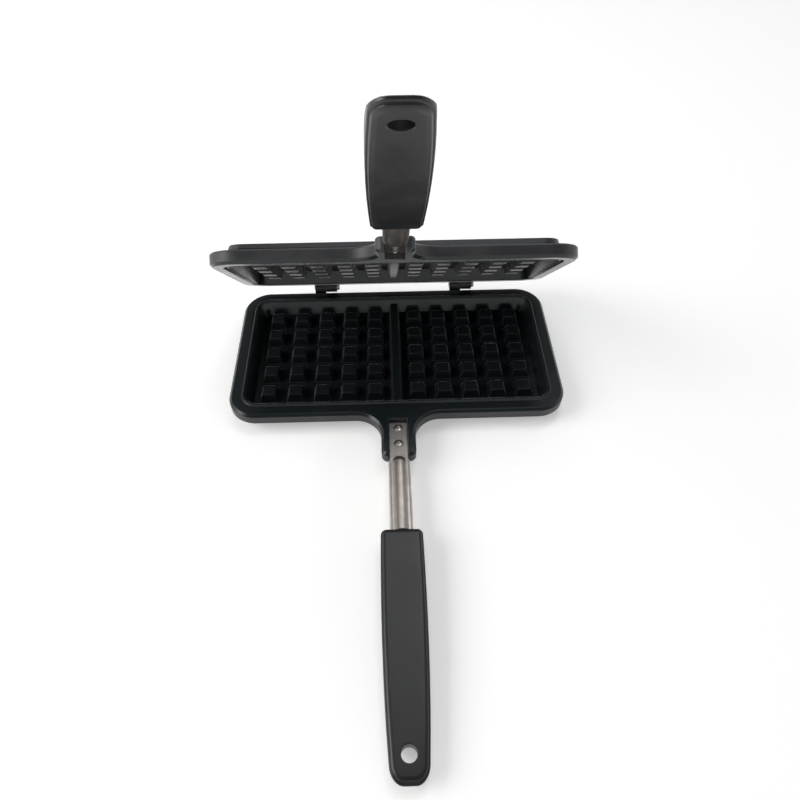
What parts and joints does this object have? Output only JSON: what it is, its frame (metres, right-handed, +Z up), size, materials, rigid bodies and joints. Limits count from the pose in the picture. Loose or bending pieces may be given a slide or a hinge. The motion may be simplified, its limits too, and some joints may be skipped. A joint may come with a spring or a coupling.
{
  "type": "waffle mould",
  "caption": "Stove-top waffle mould: hinged cast plates with gridded cooking cavities, forked necks, pressed steel stems and moulded grips, shown open.",
  "frame": {"origin": "centre of the lower plate's flat underside", "axes": "+Z up, +Y from the grips to the hinge, +X to the right as seen from the grips; the lid stands open at its rest angle"},
  "size_m": [0.1986, 0.3043, 0.2401],
  "materials": {
    "coated_casting": "near-black non-stick coating on cast aluminium, satin",
    "steel_stem": "pressed steel, brushed along its length",
    "rivet": "plain, lightly darkened",
    "moulded_grip": "heat-proof moulded resin, satin",
    "screw": "plain steel",
    "hinge_pin": "plain steel"
  },
  "bodies": {
    "base": {"lower_plate": "coated_casting", "lower_stem": "steel_stem", "lower_rivets": "rivet", "lower_grip": "moulded_grip", "lower_grip_screw": "screw", "hinge_pins": "hinge_pin"},
    "lid": {"upper_plate": "coated_casting", "upper_stem": "steel_stem", "upper_rivets": "rivet", "upper_grip": "moulded_grip", "upper_grip_screw": "screw"}
  },
  "joints": [
    {"name": "lid_hinge", "type": "hinge", "parent": "base", "child": "lid", "pos_m": [0, 0.0593, 0.0117], "axis": [-1, 0, 0], "range_deg": [-45.9, 134.1]}
  ]
}
